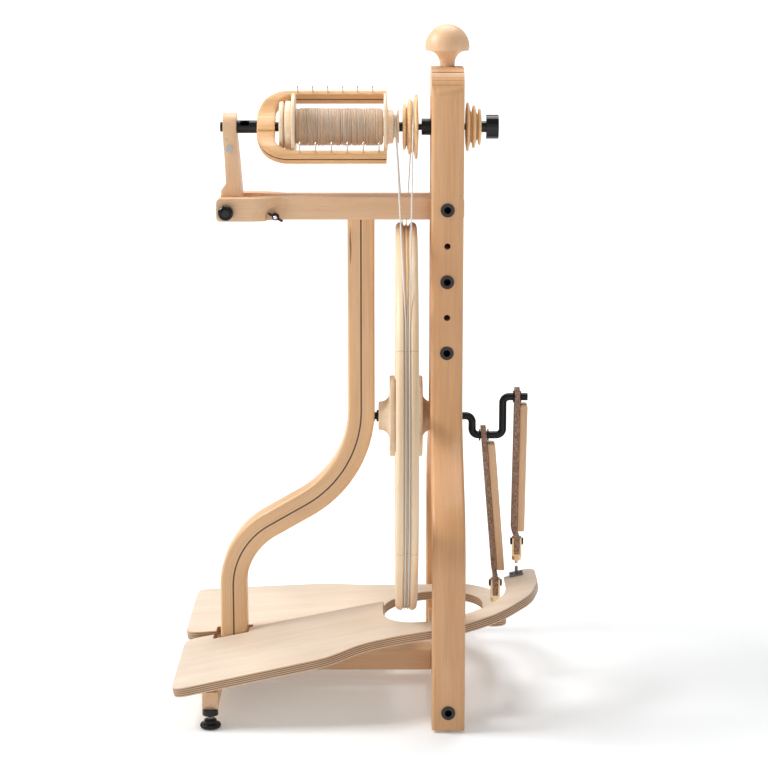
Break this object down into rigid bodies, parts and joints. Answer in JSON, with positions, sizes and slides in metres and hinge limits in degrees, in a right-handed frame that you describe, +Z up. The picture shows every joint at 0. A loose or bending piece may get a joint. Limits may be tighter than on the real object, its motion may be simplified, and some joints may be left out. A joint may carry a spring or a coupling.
{
  "type": "spinning wheel",
  "caption": "Upright double-treadle spinning wheel with a bent-laminated maple and walnut frame, a flyer and bobbin in double drive, footmen and a two-throw crank.",
  "frame": {"origin": "floor point under the middle of the overall box", "axes": "+Z up, +X along the axle from the spinner to the crank, +Y to the far side"},
  "size_m": [0.4586, 0.495, 0.845],
  "materials": {
    "maple": "satin",
    "walnut": "satin",
    "pale_maple": "satin",
    "birch": "satin",
    "black_metal": "satin",
    "black_plastic": "glossy",
    "rubber": "matte",
    "steel": "polished",
    "zinc": "satin",
    "leather": "matte",
    "cord": "matte",
    "yarn": "matte"
  },
  "bodies": {
    "frame": {"post_front_lamination": "maple", "post_walnut_ply": "walnut", "post_rear_lamination": "maple", "near_leg_outer": "maple", "near_leg_walnut": "walnut", "near_leg_inner": "maple", "far_leg_outer": "maple", "far_leg_walnut": "walnut", "far_leg_inner": "maple", "head_block": "maple", "head_walnut_plate": "walnut", "axle_board": "maple", "near_rail": "maple", "far_rail": "maple", "spine": "maple", "foot_bar": "maple", "rear_stretcher": "maple", "rear_feet": "rubber", "leveller_cups": "black_plastic", "frame_bolts": "black_metal", "front_maiden": "maple", "maiden_screws": "steel", "axle_bushes": "black_plastic", "treadle_rod": "steel", "drive_band": "cord"},
    "tension_knob": {"tension_knob": "maple", "tension_screw": "steel"},
    "rear_bearing": {"bearing_block": "maple", "rear_flyer_bearing": "black_plastic", "spare_whorl": "maple", "whorl_cap": "black_plastic"},
    "maiden_clamp": {"maiden_knob": "black_plastic"},
    "wing_nut": {"wing_nut": "black_metal"},
    "near_leveller": {"near_leveller": "black_metal"},
    "far_leveller": {"far_leveller": "black_metal"},
    "wheel": {"wheel_rim": "pale_maple", "wheel_spokes": "pale_maple", "wheel_hub": "pale_maple", "crank_axle": "black_metal", "crank_clips": "black_metal"},
    "near_footman": {"near_footman_strap": "leather", "near_footman_bar": "maple", "near_clevis": "zinc"},
    "far_footman": {"far_footman_strap": "leather", "far_footman_bar": "maple", "far_clevis": "zinc"},
    "near_treadle": {"near_treadle": "birch", "near_treadle_stud": "black_metal"},
    "far_treadle": {"far_treadle": "birch", "far_treadle_stud": "black_metal"},
    "swivel": {"swivel_bush": "black_plastic"},
    "flyer": {"flyer_maple": "maple", "flyer_walnut": "walnut", "flyer_hooks": "steel", "flyer_shaft": "black_metal", "flyer_whorls": "maple"},
    "bobbin": {"bobbin": "pale_maple", "yarn_core": "yarn", "yarn_winding": "yarn"}
  },
  "joints": [
    {"name": "near_treadle_rock", "type": "hinge", "parent": "frame", "child": "near_treadle", "pos_m": [-0.1635, 0, 0.04], "axis": [0, 1, 0], "range_deg": [0, 7.64]},
    {"name": "far_treadle_rock", "type": "hinge", "parent": "frame", "child": "far_treadle", "pos_m": [-0.1635, 0, 0.04], "axis": [0, 1, 0], "range_deg": [-8.38, 0]},
    {"name": "wheel_spin", "type": "hinge", "parent": "frame", "child": "wheel", "pos_m": [0.0595, 0, 0.3505], "axis": [1, 0, 0], "continuous": true},
    {"name": "near_footman_swing", "type": "hinge", "parent": "wheel", "child": "near_footman", "pos_m": [0.2015, 0, 0.3755], "axis": [1, 0, 0], "continuous": true},
    {"name": "far_footman_swing", "type": "hinge", "parent": "wheel", "child": "far_footman", "pos_m": [0.1585, 0, 0.3255], "axis": [1, 0, 0], "continuous": true},
    {"name": "flyer_tilt", "type": "hinge", "parent": "frame", "child": "swivel", "pos_m": [-0.16025, 0, 0.7189], "axis": [0, 1, 0], "range_deg": [-0.75, 0.75]},
    {"name": "flyer_spin", "type": "hinge", "parent": "swivel", "child": "flyer", "pos_m": [-0.16025, 0, 0.7189], "axis": [1, 0, 0], "continuous": true},
    {"name": "bobbin_spin", "type": "hinge", "parent": "flyer", "child": "bobbin", "pos_m": [-0.03, 0, 0.7189], "axis": [1, 0, 0], "continuous": true},
    {"name": "tension_knob_turn", "type": "hinge", "parent": "frame", "child": "tension_knob", "pos_m": [0.1098, 0, 0.82], "axis": [0, 0, 1], "range_deg": [-540, 540]},
    {"name": "rear_bearing_slide", "type": "slide", "parent": "frame", "child": "rear_bearing", "axis": [0, 0, 1], "range_m": [-0.003, 0.003], "deforming": ["drive_band"]},
    {"name": "maiden_clamp_turn", "type": "hinge", "parent": "frame", "child": "maiden_clamp", "pos_m": [-0.1631, 0, 0.6177], "axis": [0, 1, 0], "range_deg": [-90, 360]},
    {"name": "wing_nut_turn", "type": "hinge", "parent": "frame", "child": "wing_nut", "pos_m": [-0.1027, 0, 0.611], "axis": [0, 1, 0], "range_deg": [-90, 360]},
    {"name": "near_leveller_turn", "type": "hinge", "parent": "frame", "child": "near_leveller", "pos_m": [-0.181, -0.186, 0.02], "axis": [0, 0, 1], "range_deg": [-360, 360]},
    {"name": "far_leveller_turn", "type": "hinge", "parent": "frame", "child": "far_leveller", "pos_m": [-0.181, 0.186, 0.02], "axis": [0, 0, 1], "range_deg": [-360, 360]}
  ],
  "couplings": [
    {"joint": "far_treadle_rock", "follows": "near_treadle_rock", "ratio": -1.0956},
    {"joint": "wheel_spin", "follows": "near_treadle_rock", "ratio": 23.56},
    {"joint": "near_footman_swing", "follows": "near_treadle_rock", "ratio": -23.56},
    {"joint": "far_footman_swing", "follows": "near_treadle_rock", "ratio": -23.56},
    {"joint": "flyer_spin", "follows": "near_treadle_rock", "ratio": 195.3},
    {"joint": "bobbin_spin", "follows": "near_treadle_rock", "ratio": 208.8},
    {"joint": "rear_bearing_slide", "follows": "tension_knob_turn", "m_per_rad": 0.00031831},
    {"joint": "flyer_tilt", "follows": "tension_knob_turn", "ratio": -0.0013178}
  ]
}
